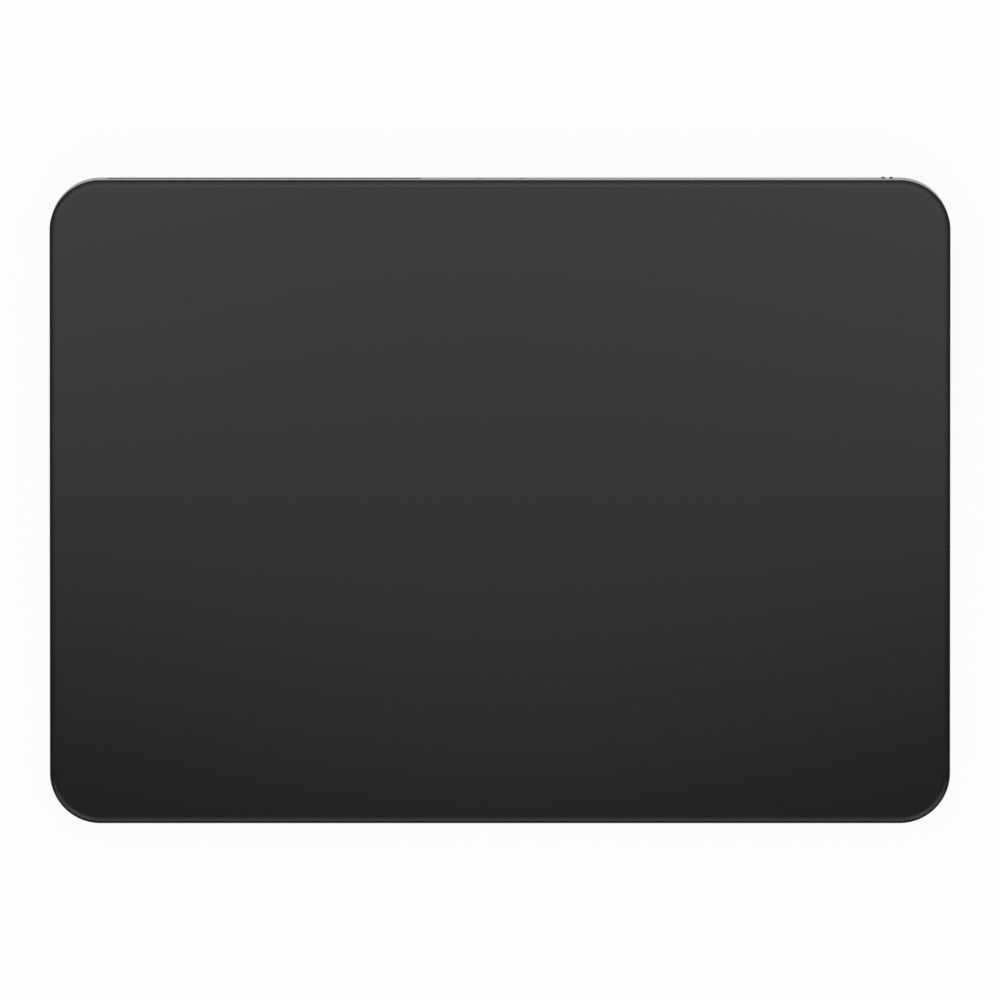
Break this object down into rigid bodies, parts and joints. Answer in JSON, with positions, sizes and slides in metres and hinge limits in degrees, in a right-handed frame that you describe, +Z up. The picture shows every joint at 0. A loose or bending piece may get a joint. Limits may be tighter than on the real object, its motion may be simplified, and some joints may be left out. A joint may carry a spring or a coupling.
{
  "type": "trackpad",
  "caption": "Wedge-shaped desktop trackpad: a flat satin glass surface on flexure brackets in an aluminium body, with a charging socket and power slider at the rear.",
  "frame": {"origin": "middle of the outline seen from above, on the desk plane under the feet", "axes": "+X to the user's right, +Y to the rear, away from the user, +Z up; the glass slopes down towards -Y"},
  "size_m": [0.16, 0.1149, 0.0109],
  "materials": {
    "black_glass": "satin etched",
    "clear_bond": "clear adhesive film",
    "circuit_board": "solder mask",
    "black_plastic": "moulded",
    "sheet_steel": "rolled",
    "core_steel": "laminated",
    "gel": "soft gel",
    "spring_steel": "stamped",
    "amber_film": "polyimide film",
    "screw_steel": "machined",
    "body_aluminium": "bead-blasted and anodised",
    "black_foam": "foam",
    "cover_aluminium": "bead-blasted and anodised",
    "black_adhesive": "pressure-sensitive adhesive",
    "foot_rubber": "moulded silicone",
    "copper": "enamelled copper",
    "white_tape": "foam tape",
    "battery_pouch": "laminated pouch",
    "chip_black": "epoxy",
    "tinned_steel": "plated",
    "ivory_plastic": "moulded",
    "gold_contact": "plated",
    "slider_plastic": "moulded",
    "green_mark": "printed",
    "window_plastic": "moulded",
    "cable_jacket": "extruded jacket"
  },
  "bodies": {
    "base": {"flexure_brackets": "spring_steel", "strain_gauges": "amber_film", "gauge_flex": "amber_film", "bracket_screws": "screw_steel", "enclosure": "body_aluminium", "dust_seal": "black_foam", "bottom_cover": "cover_aluminium", "cover_adhesive": "black_adhesive", "rubber_feet": "foot_rubber", "haptic_cores": "core_steel", "haptic_coils": "copper", "haptic_screws": "screw_steel", "haptic_flex": "amber_film", "battery_adhesive": "white_tape", "battery_cells": "battery_pouch", "battery_protection_board": "circuit_board", "battery_flex": "amber_film", "logic_board": "circuit_board", "board_chips": "chip_black", "shield_can": "tinned_steel", "board_connectors": "ivory_plastic", "board_screws": "screw_steel", "sensor_flex": "amber_film", "port_board": "circuit_board", "port_shell": "tinned_steel", "port_tongue": "black_plastic", "port_contacts": "gold_contact", "port_screws": "screw_steel", "port_flex": "amber_film", "switch_housing": "black_plastic", "switch_bracket": "spring_steel", "switch_screws": "screw_steel", "switch_flex": "amber_film", "antenna_window": "window_plastic", "antenna_element": "copper", "antenna_coax": "cable_jacket"},
    "pad_carrier": {"gel_pads": "gel"},
    "touch_plate": {"cover_glass": "black_glass", "glass_bond": "clear_bond", "touch_sensor_board": "circuit_board", "sensor_connector": "black_plastic", "stiffener_plate": "sheet_steel", "haptic_armature": "core_steel"},
    "power_slider": {"power_slider": "slider_plastic", "switch_indicator": "green_mark"}
  },
  "joints": [
    {"name": "surface_press", "type": "slide", "parent": "base", "child": "pad_carrier", "axis": [0, 0.0524, -0.9986], "range_m": [0, 0.0002], "stiffness_N_per_m": 20000, "springref_m": -0.0002, "deforming": ["flexure_brackets", "strain_gauges", "sensor_flex"]},
    {"name": "haptic_shift", "type": "slide", "parent": "pad_carrier", "child": "touch_plate", "axis": [1, 0, 0], "range_m": [-0.0001, 0.0001], "stiffness_N_per_m": 20000},
    {"name": "power_slide", "type": "slide", "parent": "base", "child": "power_slider", "axis": [1, 0, 0], "range_m": [-0.0022, 0]}
  ]
}
